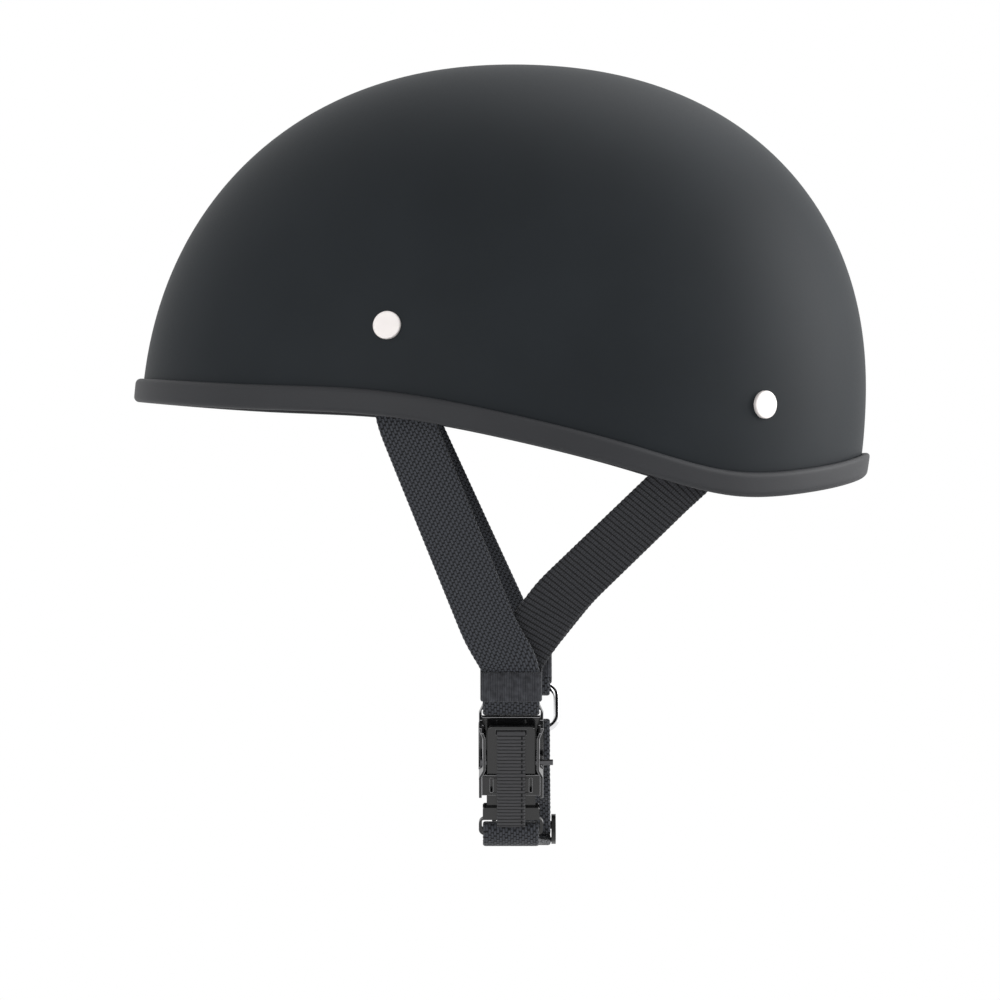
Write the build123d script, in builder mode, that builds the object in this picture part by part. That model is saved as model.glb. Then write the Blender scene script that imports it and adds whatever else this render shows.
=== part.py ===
from build123d import *
from math import copysign, cos, pi, radians, sin, sqrt
import os

# Half shell motorcycle helmet, in millimetres.
# +Z is up, the front faces -Y and the wearer's left is +X.
# The origin is the middle of the head opening, level with the bottom of the front edge.

os.makedirs("parts", exist_ok=True)

# Dome: a front and a rear half, each an ellipse from above, leaning back as they rise
axis_y = -3.6
axis_z = -5.4
front_reach = 128.6
rear_reach = 135.0
dome_height = 127.9
dome_half_width = 107.0
round_share = 0.906
backward_share = 0.053
quarter_steps = 6
skirt_steps = 2

# Rim line, seen from the side, in shares of the half length and of the drop
rim_middle = 1.2
rim_drop = 33.8
rim_shares = [
    (-1.2, 0.06), (-1.0, -0.01), (-0.66, -0.1), (-0.34, -0.166), (0.0, -0.402),
    (0.35, -0.75), (0.6, -0.988), (0.78, -0.967), (1.0, -0.79), (1.2, -0.45),
]

# General gaps
overrun = 25.0
fit = 0.2
hole_clearance = 0.1

# Layers of the dome
shell_wall = 3.5
shell_lift = 1.8
trim_height = 8.6
trim_proud = 2.9
trim_lip = 1.7
trim_round = 1.9
foam_wall = 19.6
foam_lift = 2.8
pad_wall = 7.0
pad_floor = 62.0
band_wall = 5.0
band_lift = 4.0
band_height = 30.0
disc_radius = 12.0
disc_thickness = 1.4

# Rivets, by their places in the side view
front_rivet_y = -39.9
front_rivet_z = 25.05
rear_rivet_y = 90.0
rear_rivet_z = -1.7
rivet_head_radius = 4.85
rivet_head_height = 1.3
rivet_shank_radius = 2.2
rivet_tail_radius = 3.7
rivet_tail_height = 1.0
rivet_round = 0.45
washer_radius = 6.5
washer_thickness = 1.0
washer_seat = 0.65

# Webbing straps
webbing_width = 20.0
webbing_thickness = 1.7
strap_end = 10.0
strap_inset = 5.15
strap_rim_inset = 8.3
left_front_exit_y = -34.1
left_rear_exit_y = 59.6
right_front_exit_y = -34.8
right_rear_exit_y = 65.5
front_knee_share = 0.86
rear_knee_share = 0.64
left_front_knee_shift = -2.0
left_rear_knee_shift = -4.6
right_front_knee_shift = -1.4
right_rear_knee_shift = -2.5
rear_knee_inward = 2.2
laid_shares = [0.0, 0.35, 0.7, 0.9]
laid_inset_shares = [0.0, 0.1, 0.62, 0.95]
hang_shares = [0.12, 0.36]
channel_depth = 8.0

# Lower ends of the straps: a bar held in a loop, with the strap leaning inwards
lean = 24.0
left_bar_x = 61.6
left_bar_y = 2.4
left_bar_z = -105.96
right_bar_x = 60.0
right_bar_y = 7.4
right_bar_z = -107.0
keeper_bottom = 2.1
keeper_length = 11.5
keeper_wall = 0.8
loop_top = 15.2
rear_strap_stop = 0.6

# Buckle tray
tray_width = 22.6
tray_length = 34.2
tray_plate = 1.5
tray_wall = 1.0
tray_ear = 1.5
tray_ear_height = 3.6
tray_corner = 1.6
tray_bar = 2.3
tray_slot = 2.9
tray_height = 6.0
wall_start = 6.5
waist_start = 7.2
waist_end = 25.8
waist_depth = 1.35
waist_top_slope = 3.6
waist_low_slope = 2.6
waist_round = 1.2
bridge_start = 26.0
bridge_low = 2.4
bridge_thickness = 1.7
slit_length = 5.6
slit_width = 0.9
slit_place = 6.9

# Release lever and its pin
pin_down = 21.2
pin_out = 4.3
pin_radius = 1.0
pin_tip = 3.5
pin_head_radius = 1.6
pin_head = 0.8
lever_width = 17.0
lever_top = 6.2
lever_panel_end = 24.8
lever_thickness = 1.4
lever_under = 4.9
lever_corner = 2.0
lever_edge = 0.35
lever_slot = 2.0
lever_slot_top = 7.35
spring_window = 3.8
lug_radius = 1.6
lug_width = 2.4
tooth_top = 13.6
tooth_length = 2.0
tooth_root = 3.2
tooth_width = 6.0
tooth_tip = 1.7

# Torsion spring on the pin
spring_wire = 0.5
spring_radius = 1.3
spring_pitch = 0.95
spring_turns = 5

# Pull ribbon
ribbon_width = 10.0
ribbon_thickness = 1.1
ribbon_tail = 12.2
ribbon_top = 8.0
ribbon_knee = 27.5
ribbon_sag_down = 39.5
ribbon_sag_out = 5.8
ribbon_end = 46.2
ribbon_end_out = 5.5

# Tongue
tongue_thickness = 1.6
tongue_width = 17.2
tongue_tip = 9.0
tongue_play = 2.5
latch_length = 5.6
latch_width = 7.0
tongue_corner = 2.4
block_start = 39.8
block_end = 44.5
block_width = 20.0
block_thickness = 3.8
block_round = 0.8
eye_start = 45.3
eye_length = 3.6
eye_bar = 2.6
eye_width = 22.8

# Chin strap
chin_left_z = -157.4
chin_right_z = -163.6
chin_left_x = 26.0
chin_right_x = -27.0
chin_left_bend = 6.0
chin_right_bend = 6.0
left_tail = 52.6
turn_share = 0.97

# Ring on the wearer's right
ring_width = 27.6
ring_drop = 17.5
ring_wire = 2.5
ring_corner = 5.0
ring_slack = 0.75

# Slider on the wearer's right
slider_down = 57.2
slider_width = 23.8
slider_length = 10.8
slider_rail = 1.6
slider_bar = 1.8
slider_thickness = 7.9
slider_round = 3.0
pinch_down = 28.8
ease_down = 22.4
ease_bend = 6.0
right_tail_down = 49.5
right_tail_pinch = 45.0
right_tail_end = 38.5

half_length = (front_reach + rear_reach) / 2


# Shape of the dome
def profile_point(turn, inset):
    """A point of the rounded profile, turned up from the widest level to the crown."""
    rise = copysign(abs(sin(turn)) ** round_share, turn)
    return (dome_half_width - inset) * cos(turn) ** round_share, axis_z + (dome_height - inset) * rise


def dome(inset):
    """The rounded body that lies a depth inside the outer surface, with a skirt below it."""
    turns = [pi / 2 * step / quarter_steps for step in range(-skirt_steps, quarter_steps + 1)]
    low = turns[0]
    outwards = (dome_half_width - inset) * cos(low) ** (round_share - 1) * -sin(low)
    upwards = (dome_height - inset) * abs(sin(low)) ** (round_share - 1) * cos(low)
    halves = []
    for reach, way in ((front_reach, -1), (rear_reach, 1)):
        with BuildPart() as half:
            with BuildSketch(Plane.XZ.offset(-axis_y)):
                with BuildLine():
                    curve = Spline(
                        *[profile_point(turn, inset) for turn in turns],
                        tangents=[(outwards, upwards), (-1, 0)], tangent_scalars=[1, 1],
                    )
                    Polyline(curve @ 1, (0, (curve @ 0).Y), curve @ 0)
                make_face()
            revolve(axis=Axis((0, axis_y, 0), (0, 0, way)), revolution_arc=180)
        stretch = (reach - inset) / (dome_half_width - inset)
        shift = axis_y * (1 - stretch) - axis_z * backward_share
        leaning = Matrix([[1, 0, 0, 0], [0, stretch, backward_share, shift], [0, 0, 1, 0], [0, 0, 0, 1]])
        halves.append(half.part.transform_geometry(leaning))
    with BuildPart() as body:
        add(halves[0])
        add(halves[1], clean=False)
    return body.part


def over_rim(lift):
    """Everything above the rim line, raised by a lift."""
    reach = half_length + overrun
    top = dome_height + overrun
    with BuildPart() as block:
        with BuildSketch(Plane.YZ):
            with BuildLine():
                line = [(rim_middle + a * half_length, b * rim_drop + lift) for a, b in rim_shares]
                edge = Spline(*line)
                Polyline(edge @ 1, (reach + overrun, top), (-reach - overrun, top), edge @ 0)
            make_face()
        extrude(amount=dome_half_width + overrun, both=True)
    return block.part


def rim_height(y):
    """Height of the rim line at a place along it."""
    share = (y - rim_middle) / half_length
    for (a, low), (b, high) in zip(rim_shares, rim_shares[1:]):
        if a <= share <= b:
            return rim_drop * (low + (high - low) * (share - a) / (b - a))


def reach_at(y):
    """Reach of the half that holds a place along the dome."""
    return front_reach if y < axis_y else rear_reach


def on_dome(y, z, inset, side):
    """The point of a layer of the dome that the side view shows at (y, z)."""
    rise = abs(z - axis_z) / (dome_height - inset)
    level = (1 - rise ** (2 / round_share)) ** round_share
    upright_y = y - (z - axis_z) * backward_share
    along = (upright_y - axis_y) / (reach_at(upright_y) - inset)
    return Vector(side * (dome_half_width - inset) * sqrt(level - along ** 2), y, z)


def dome_normal(y, z, side):
    """Outward direction of the dome at the point seen at (y, z)."""
    power = 2 / round_share
    rise = abs(z - axis_z) / dome_height
    fall = (1 - rise ** power) ** (round_share - 1) * rise ** (power - 1) / dome_height
    across = on_dome(y, z, 0, side).X / dome_half_width ** 2
    upright_y = y - (z - axis_z) * backward_share
    along = (upright_y - axis_y) / reach_at(upright_y) ** 2
    upwards = copysign(fall, z - axis_z) - along * backward_share
    return Vector(across, along, upwards).normalized()


def spread(point):
    """Over 1 outside the widest outline of the dome, seen from above, and under 1 inside it."""
    across = point.X / dome_half_width
    upright_y = point.Y - (point.Z - axis_z) * backward_share
    along = (upright_y - axis_y) / reach_at(upright_y)
    return across ** 2 + along ** 2


def layer(outer, inner, low, high=None):
    """The part of the dome between two depths, from one height over the rim line to another."""
    form, core, block = dome(outer), dome(inner), over_rim(low)
    top = None if high is None else over_rim(high)
    with BuildPart() as body:
        add(form)
        add(block, mode=Mode.INTERSECT, clean=False)
        if top:
            add(top, mode=Mode.SUBTRACT, clean=False)
        add(core, mode=Mode.SUBTRACT, clean=False)
    return body.part


# Places of the lower ends
lean_cos = cos(radians(lean))
lean_sin = sin(radians(lean))


def bar_face(side, middle):
    """Plane of a strap's lower bar: x lies along the bar, y runs up the strap."""
    return Plane(origin=middle, x_dir=(0, side, 0), z_dir=(side * lean_cos, 0, -lean_sin))


def bar_side(side, middle):
    """The same place seen along the bar: x points outwards, y runs up the strap."""
    return Plane(origin=middle, x_dir=(side * lean_cos, 0, -lean_sin), z_dir=(0, -side, 0))


left_bar = (left_bar_x, left_bar_y, left_bar_z)
right_bar = (-right_bar_x, right_bar_y, right_bar_z)
left_face, left_side = bar_face(1, left_bar), bar_side(1, left_bar)
right_face, right_side = bar_face(-1, right_bar), bar_side(-1, right_bar)
left_gap = tray_plate / 2 + fit
right_gap = ring_wire / 2 + fit
rivet_places = {"front": (front_rivet_y, front_rivet_z), "rear": (rear_rivet_y, rear_rivet_z)}
courses = {
    ("left", "front"): (left_front_exit_y, front_knee_share, left_front_knee_shift, 0),
    ("left", "rear"): (left_rear_exit_y, rear_knee_share, left_rear_knee_shift, rear_knee_inward),
    ("right", "front"): (right_front_exit_y, front_knee_share, right_front_knee_shift, 0),
    ("right", "rear"): (right_rear_exit_y, rear_knee_share, right_rear_knee_shift, rear_knee_inward),
}
corners = [(name, end) for name in ("left", "right") for end in ("front", "rear")]
side_of = {"left": 1, "right": -1}
face_of = {"left": left_face, "right": right_face}


def rivet_plane(name, end):
    """Plane on the outer surface of the dome at a rivet, facing outwards."""
    y, z = rivet_places[end]
    side = side_of[name]
    return Plane(origin=on_dome(y, z, 0, side), z_dir=dome_normal(y, z, side))


def laid_stations(name, end):
    """Centres and outward directions of the part of a strap that lies inside the shell."""
    side = side_of[name]
    rivet_y, rivet_z = rivet_places[end]
    exit_y = courses[name, end][0]
    exit_z = rim_height(exit_y)
    run = sqrt((exit_y - rivet_y) ** 2 + (exit_z - rivet_z) ** 2)
    shares = [-strap_end / run] + laid_shares + [1.0]
    depths = [0.0] + laid_inset_shares + [1.0]
    stations = []
    for share, depth in zip(shares, depths):
        y = rivet_y + (exit_y - rivet_y) * share
        z = rivet_z + (exit_z - rivet_z) * share
        inset = strap_inset + (strap_rim_inset - strap_inset) * depth
        stations.append((on_dome(y, z, inset, side), dome_normal(y, z, side)))
    return stations


def hanging_stations(name, end, out):
    """Centres and outward directions from the rim down to the top of the keeper."""
    rim, rim_facing = laid_stations(name, end)[-1]
    face = face_of[name]
    low = face.from_local_coords((0, loop_top, out))
    _, knee_share, shift, inward = courses[name, end]
    knee = rim + (low - rim) * knee_share + Vector(-side_of[name] * inward, shift, 0)
    stations = []
    for share in hang_shares:
        facing = rim_facing + (face.z_dir - rim_facing) * share
        stations.append((rim + (knee - rim) * (share / knee_share), facing))
    stations.append((knee, rim_facing + (face.z_dir - rim_facing) * knee_share))
    return stations + [(low, face.z_dir)]


def webbing(stations, width, thickness, last_heading):
    """A flat band through the stations, square to its own run at each of them."""
    points = [point for point, _ in stations]
    with BuildPart() as band:
        for index, (point, facing) in enumerate(stations):
            if index == len(stations) - 1 and last_heading:
                heading = last_heading
            else:
                before = points[max(index - 1, 0)]
                after = points[min(index + 1, len(points) - 1)]
                heading = (after - before).normalized()
            with BuildSketch(Plane(origin=point, x_dir=heading.cross(facing), z_dir=heading)):
                Rectangle(width, thickness)
        loft(ruled=True)
    return band.part


# Outer shell: one moulded dome, drilled for the four rivets
shell_layer = layer(0, shell_wall, shell_lift)
with BuildPart() as outer_shell:
    add(shell_layer)
    for name, end in corners:
        with BuildSketch(rivet_plane(name, end).offset(-washer_radius)):
            Circle(rivet_shank_radius + hole_clearance)
        extrude(amount=washer_radius + rivet_head_radius, mode=Mode.SUBTRACT)

# Edge trim: a rubber channel pressed over the rim of the shell, its outer edges rounded
trim_core_inset = shell_wall + fit + trim_lip
trim_layer = layer(-trim_proud, trim_core_inset, 0, trim_height)
groove = layer(-fit / 2, shell_wall + fit / 2, shell_lift - fit / 2)
with BuildPart() as edge_trim:
    add(trim_layer)
    around = [edge for edge in edge_trim.edges() if edge.length > 2 * trim_height]
    fillet([edge for edge in around if spread(edge @ 0.5) > 1], radius=trim_round)
    add(groove, mode=Mode.SUBTRACT)

# Straps: one band from each rivet down to its lower bar
straps = {}
for name, end in corners:
    face, gap = face_of[name], left_gap if name == "left" else right_gap
    side_plane = left_side if name == "left" else right_side
    leg = gap + webbing_thickness / 2
    out = leg if end == "front" else 0
    stations = laid_stations(name, end) + hanging_stations(name, end, out)
    upper = webbing(stations, webbing_width, webbing_thickness, -face.y_dir)
    slack = 0 if name == "left" else ring_slack
    turn = -slack if name == "right" else 2 * fit - tray_bar
    with BuildPart() as strap:
        add(upper)
        if end == "front":
            with BuildSketch(side_plane):
                with Locations((0, (loop_top + turn) / 2)):
                    Rectangle(2 * (gap + webbing_thickness), loop_top - turn)
                with Locations((0, turn)):
                    Circle(gap + webbing_thickness)
                with Locations((0, (loop_top + turn) / 2)):
                    Rectangle(2 * gap, loop_top - turn, mode=Mode.SUBTRACT)
                with Locations((0, turn)):
                    Circle(gap, mode=Mode.SUBTRACT)
        else:
            stop = rear_strap_stop + (ring_wire / 2 if name == "right" else 0)
            with BuildSketch(side_plane):
                with Locations((0, (loop_top + stop) / 2)):
                    Rectangle(webbing_thickness, loop_top - stop)
        extrude(amount=webbing_width / 2, both=True)
        with BuildSketch(rivet_plane(name, end).offset(-overrun)):
            Circle(rivet_shank_radius + hole_clearance)
        extrude(amount=overrun, mode=Mode.SUBTRACT)
    straps[name, end] = strap

# Keepers: a sewn band round the layers of each pair of straps
keepers = {}
for name in side_of:
    gap = left_gap if name == "left" else right_gap
    inner_width = webbing_width + fit
    inner_depth = 2 * (gap + webbing_thickness) + fit
    with BuildPart() as keeper:
        face = face_of[name]
        with BuildSketch(Plane(face.from_local_coords((0, keeper_bottom, 0)), face.x_dir, face.y_dir)):
            RectangleRounded(
                inner_width + 2 * keeper_wall, inner_depth + 2 * keeper_wall, keeper_wall * 2
            )
            RectangleRounded(inner_width, inner_depth, fit, mode=Mode.SUBTRACT)
        extrude(amount=keeper_length)
    keepers[name] = keeper

# Impact liner: foam under the shell, with channels for the straps and pockets for the rivets
foam_inset = shell_wall + fit
foam_core_inset = foam_inset + foam_wall
foam_layer = layer(foam_inset, foam_core_inset, foam_lift)
trim_room = layer(-trim_proud, trim_core_inset + fit, 0, trim_height + fit)
channels = []
for name, end in corners:
    route = laid_stations(name, end) + hanging_stations(name, end, 0)[:1]
    shift = channel_depth / 2 - webbing_thickness / 2 - 3 * fit
    route = [(point + facing * shift, facing) for point, facing in route]
    channels.append(webbing(route, webbing_width + 4 * fit, channel_depth, None))
pocket_depth = shell_wall + webbing_thickness + washer_thickness + rivet_tail_height + washer_seat
with BuildPart() as impact_liner:
    add(foam_layer)
    add(trim_room, mode=Mode.SUBTRACT)
    for channel in channels:
        add(channel, mode=Mode.SUBTRACT)
    for name, end in corners:
        with BuildSketch(rivet_plane(name, end).offset(-pocket_depth - 4 * fit)):
            Circle(washer_radius + 2 * fit)
        extrude(amount=pocket_depth, mode=Mode.SUBTRACT)

# Crown pad, sweatband and the discs that hold the pad
pad_inset = foam_core_inset + disc_thickness + fit
pad_form, pad_core = dome(pad_inset), dome(pad_inset + pad_wall)
with BuildPart() as crown_pad:
    add(pad_form)
    add(pad_core, mode=Mode.SUBTRACT, clean=False)
    with BuildSketch(Plane.XY.offset(pad_floor)):
        Rectangle(2 * (half_length + overrun), 2 * (half_length + overrun))
    extrude(amount=dome_height, mode=Mode.INTERSECT)

band_inset = foam_core_inset + fit
band_layer = layer(band_inset, band_inset + band_wall, band_lift, band_lift + band_height)
with BuildPart() as sweatband:
    add(band_layer)

crown_y = axis_y + dome_height * backward_share
disc_places = [
    (side * dome_half_width / 4, crown_y + way * half_length / 4)
    for side in (-1, 1) for way in (-1, 1)
]
disc_form, disc_core = dome(foam_core_inset), dome(foam_core_inset + disc_thickness)
with BuildPart() as liner_hook_discs:
    with BuildSketch(Plane.XY.offset(pad_floor)):
        with Locations(*disc_places):
            Circle(disc_radius)
    extrude(amount=dome_height)
    add(disc_form, mode=Mode.INTERSECT)
    add(disc_core, mode=Mode.SUBTRACT)

# Rivets and washers
washer_depth = strap_inset + webbing_thickness / 2 + washer_seat
tail_depth = washer_depth + washer_thickness
rivets = {}
for name, end in corners:
    plane = rivet_plane(name, end)
    with BuildPart() as rivet:
        with BuildSketch(plane):
            Circle(rivet_head_radius)
        extrude(amount=rivet_head_height)
        fillet(rivet.edges().group_by(Axis(plane.origin, plane.z_dir))[-1], radius=rivet_round)
        with BuildSketch(plane.offset(-tail_depth)):
            Circle(rivet_shank_radius)
        extrude(amount=tail_depth)
        with BuildSketch(plane.offset(-tail_depth)):
            Circle(rivet_tail_radius)
        extrude(amount=-rivet_tail_height)
    rivets[name, end] = rivet

with BuildPart() as rivet_washers:
    for name, end in corners:
        with BuildSketch(rivet_plane(name, end).offset(-tail_depth)):
            Circle(washer_radius)
            Circle(rivet_shank_radius + hole_clearance, mode=Mode.SUBTRACT)
        extrude(amount=washer_thickness)

# Buckle tray: a stamped plate with turned-up side walls, a strap bar and a bridge over the tongue
half_tray = tray_width / 2
half_waist = half_tray - waist_depth
wall_corners = [
    (half_tray, -wall_start), (half_tray, -waist_start),
    (half_waist, -waist_start - waist_top_slope), (half_waist, -waist_end + waist_low_slope),
    (half_tray, -waist_end), (half_tray, -tray_length),
]
wall_outline = wall_corners + [(-x, y) for x, y in reversed(wall_corners)]
with BuildSketch() as outline:
    with BuildLine():
        Polyline(*wall_outline, close=True)
    make_face()
    waist = [v for v in outline.vertices() if -waist_end - fit < v.Y < -waist_start + fit]
    fillet(waist, radius=waist_round)
with BuildSketch() as hollow:
    add(outline.sketch)
    offset(amount=-tray_wall, kind=Kind.INTERSECTION)

wall_low = tray_plate / 2
tongue_low = tray_plate / 2 + fit + fit / 4
tongue_top = tongue_low + tongue_thickness
with BuildPart() as buckle_frame:
    with BuildSketch(left_face.offset(-wall_low)):
        with BuildLine():
            Polyline(
                (-half_tray, -tray_length), (half_tray, -tray_length), (half_tray, -tray_ear_height),
                (half_tray - tray_ear, 0), (tray_ear - half_tray, 0), (-half_tray, -tray_ear_height),
                close=True,
            )
        make_face()
        with Locations((0, -tray_bar - tray_slot / 2)):
            RectangleRounded(webbing_width + 3 * fit, tray_slot, tray_slot / 6, mode=Mode.SUBTRACT)
    extrude(amount=tray_plate)
    with BuildSketch(left_face.offset(wall_low)):
        add(outline.sketch)
        add(hollow.sketch, mode=Mode.SUBTRACT)
        with Locations((0, -wall_start), (0, -tray_length)):
            Rectangle(tray_width - 2 * tray_wall, 4 * tray_wall, mode=Mode.SUBTRACT)
    extrude(amount=tray_height)
    with BuildSketch(left_face.offset(wall_low + bridge_low)):
        with Locations((0, -(bridge_start + tray_length) / 2)):
            Rectangle(tray_width - tray_wall, tray_length - bridge_start)
            with Locations((slit_place, 0), (-slit_place, 0)):
                RectangleRounded(slit_width, slit_length, slit_width / 3, mode=Mode.SUBTRACT)
    extrude(amount=bridge_thickness)
    with BuildSketch(left_side.offset(-half_tray)):
        with Locations((pin_out, -pin_down)):
            Circle(pin_radius + hole_clearance / 2)
    extrude(amount=tray_width, mode=Mode.SUBTRACT)

# Lever pin: headed at the front end, standing out at the rear end
with BuildPart() as lever_pin:
    with BuildSketch(left_side.offset(half_tray - waist_depth + fit / 2)):
        with Locations((pin_out, -pin_down)):
            Circle(pin_head_radius)
    extrude(amount=pin_head)
    with BuildSketch(left_side.offset(half_tray - waist_depth + fit / 2)):
        with Locations((pin_out, -pin_down)):
            Circle(pin_radius)
    extrude(amount=-(tray_width - waist_depth + pin_tip))

spring_length = spring_pitch * spring_turns

# Release lever: a pressed panel with two lugs on the pin and a tooth for the tongue
with BuildPart() as release_lever:
    with BuildSketch(left_face.offset(lever_under)):
        with Locations((0, -(lever_top + lever_panel_end) / 2)):
            Rectangle(lever_width, lever_panel_end - lever_top)
    extrude(amount=lever_thickness)
    corner_edges = release_lever.edges().filter_by(Axis((0, 0, 0), left_face.z_dir))
    fillet(corner_edges.sort_by(Axis((0, 0, 0), left_face.y_dir))[-2:], radius=lever_corner)
    fillet(release_lever.faces().sort_by(Axis((0, 0, 0), left_face.z_dir))[-1].edges(), radius=lever_edge)
    with BuildSketch(left_face.offset(lever_under)):
        with Locations((0, -lever_slot_top - lever_slot / 2)):
            Rectangle(ribbon_width + 3 * fit, lever_slot)
        with Locations((0, -pin_down)):
            Rectangle(spring_length + 5 * fit, spring_window)
    extrude(amount=lever_thickness, mode=Mode.SUBTRACT)
    lug_middle = (lever_width - lug_width) / 2
    for way in (-1, 1):
        with BuildSketch(left_side.offset(way * lug_middle)):
            with Locations((pin_out, -pin_down)):
                Circle(lug_radius)
            with Locations(((pin_out + lever_under + fit) / 2, -pin_down)):
                Rectangle(lever_under + fit - pin_out, 2 * lug_radius)
        extrude(amount=lug_width / 2, both=True)
        with BuildSketch(left_side.offset(way * lug_middle)):
            with Locations((pin_out, -pin_down)):
                Circle(pin_radius + hole_clearance)
        extrude(amount=lug_middle, both=True, mode=Mode.SUBTRACT)
    with BuildSketch(left_side):
        with BuildLine():
            Polyline(
                (lever_under, -tooth_top), (tooth_tip, -tooth_top),
                (tooth_tip, -tooth_top - tooth_length / 2),
                (lever_under, -tooth_top - tooth_root),
                close=True,
            )
        make_face()
    extrude(amount=tooth_width / 2, both=True)

# Torsion spring: one unbroken wire round the pin, between the lugs
spring_base = Plane(
    origin=left_face.from_local_coords((-spring_length / 2, -pin_down, pin_out)),
    x_dir=left_face.z_dir, z_dir=left_face.x_dir,
)
coil = spring_base * Helix(pitch=spring_pitch, height=spring_length, radius=spring_radius)
with BuildPart() as lever_spring:
    with BuildSketch(Plane(origin=coil @ 0, z_dir=coil % 0)):
        Circle(spring_wire / 2)
    sweep(path=coil, is_frenet=True)

# Pull ribbon: wrapped round the top edge of the lever and hanging over the bridge
ribbon_under = lever_under - fit / 4 - ribbon_thickness / 2
ribbon_over = lever_under + lever_thickness + fit / 4 + ribbon_thickness / 2
ribbon_turn = (ribbon_over - ribbon_under) / 2 * turn_share
with BuildPart() as pull_ribbon:
    with BuildSketch(left_side):
        with BuildLine():
            FilletPolyline(
                (ribbon_under, -ribbon_tail), (ribbon_under, -ribbon_top),
                (ribbon_over, -ribbon_top), (ribbon_over, -ribbon_knee),
                (ribbon_sag_out, -ribbon_sag_down), (ribbon_end_out, -ribbon_end),
                radius=[ribbon_turn, ribbon_turn, ribbon_knee, ribbon_knee],
            )
        trace(line_width=ribbon_thickness)
    extrude(amount=ribbon_width / 2, both=True)

# Tongue: a latching blade, a finger block and an eye for the chin strap
tongue_middle = tongue_low + tongue_thickness / 2
with BuildPart() as tongue:
    with BuildSketch(left_face.offset(tongue_low)) as blade:
        with Locations((0, -(tongue_tip + block_end) / 2)):
            Rectangle(tongue_width, block_end - tongue_tip)
        fillet(blade.vertices().group_by(Axis.Y)[-1], radius=tongue_corner)
        with Locations((0, -tooth_top + tongue_play - latch_length / 2)):
            RectangleRounded(latch_width, latch_length, latch_width / 8, mode=Mode.SUBTRACT)
        with Locations((0, -(block_end + eye_start + eye_length + eye_bar) / 2)):
            RectangleRounded(
                eye_width, eye_start + eye_length + eye_bar - block_end, tongue_corner
            )
        with Locations((0, -(block_start + block_end) / 2)):
            Rectangle(block_width, block_end - block_start)
        with Locations((0, -eye_start - eye_length / 2)):
            RectangleRounded(webbing_width + 3 * fit, eye_length, eye_length / 6, mode=Mode.SUBTRACT)
    extrude(amount=tongue_thickness)
    with BuildSketch(left_face.offset(tongue_middle - block_thickness / 2)):
        with Locations((0, -(block_start + block_end) / 2)):
            RectangleRounded(block_width, block_end - block_start, block_round)
    extrude(amount=block_thickness)

# Ring: bent wire, hanging in the loop of the right-hand straps
with BuildSketch(right_face) as ring_frame:
    with Locations((0, -ring_drop / 2)):
        RectangleRounded(ring_width - ring_wire, ring_drop, ring_corner)
ring_line = ring_frame.sketch.face().outer_wire()
with BuildPart() as strap_ring:
    with BuildSketch(Plane(origin=ring_line @ 0, z_dir=ring_line % 0)):
        Circle(ring_wire / 2)
    sweep(path=ring_line)

# Slider: two thick side rails, two end bars outside the strap and a middle bar inside it
half_layer = (webbing_thickness + fit) / 2
slider_out = half_layer + webbing_thickness / 2 + fit + slider_bar / 2
with BuildPart() as strap_slider:
    for way in (-1, 1):
        with BuildSketch(right_side.offset(way * (slider_width - slider_rail) / 2)):
            with Locations((0, -slider_down)):
                RectangleRounded(slider_thickness, slider_length, slider_round)
        extrude(amount=slider_rail / 2, both=True)
    with BuildSketch(right_side):
        bar_travel = slider_length / 2 - slider_bar - 2 * fit
        with Locations((slider_out, -slider_down - bar_travel), (slider_out, -slider_down + bar_travel)):
            Circle(slider_bar / 2)
        with Locations((-slider_out, -slider_down)):
            Circle(slider_bar / 2)
    extrude(amount=(slider_width - slider_rail) / 2, both=True)

# Chin strap: looped through the tongue's eye, under the chin and up through slider and ring
def level_with(origin_z, out, z):
    """How far up the leaning plane a point lies, from its height and its distance out."""
    return (z - origin_z + out * lean_sin) / lean_cos


def inward(out, up, run):
    """A point that lies a level run inwards from a place on the leaning plane."""
    return out - run * lean_cos, up - run * lean_sin


tongue_leg = tongue_thickness / 2 + fit + webbing_thickness / 2
left_out = tongue_middle + tongue_leg
left_low = level_with(left_bar_z, left_out, chin_left_z)
left_turn = -(eye_start + eye_length) + 3 * fit + webbing_thickness / 2
left_corner = left_face.from_local_coords((0, left_low, left_out))
left_end = inward(left_out, left_low, left_corner.X - chin_left_x)
ring_leg = ring_wire / 2 + fit + webbing_thickness / 2
ring_turn = -ring_drop + ring_slack + ring_leg
right_low = level_with(right_bar_z, half_layer, chin_right_z)
right_corner = right_face.from_local_coords((0, right_low, half_layer))
right_end = inward(half_layer, right_low, chin_right_x - right_corner.X)
slider_leg = slider_bar / 2 + fit + webbing_thickness / 2
slider_turn = -slider_down - slider_leg
tail_out = -slider_out - slider_leg
lap_out = -half_layer - webbing_thickness - fit
left_path = [
    (tongue_middle - tongue_leg, -left_tail), (tongue_middle - tongue_leg, left_turn),
    (left_out, left_turn), (left_out, left_low), left_end,
]
right_path = [
    right_end, (half_layer, right_low), (half_layer, -pinch_down), (ring_leg, -ease_down),
    (ring_leg, ring_turn), (-ring_leg, ring_turn), (-ring_leg, -ease_down),
    (-half_layer, -pinch_down), (-slider_out + slider_leg, slider_turn), (tail_out, slider_turn),
    (tail_out, -right_tail_down), (lap_out, -right_tail_pinch), (lap_out, -right_tail_end),
]
left_radii = [tongue_leg * turn_share, tongue_leg * turn_share, chin_left_bend]
right_radii = [
    chin_right_bend, ease_bend, ease_bend, ring_leg * turn_share, ring_leg * turn_share,
    ease_bend, ease_bend, slider_leg * turn_share, slider_leg * turn_share, ease_bend / 2,
    ease_bend / 2,
]
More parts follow.
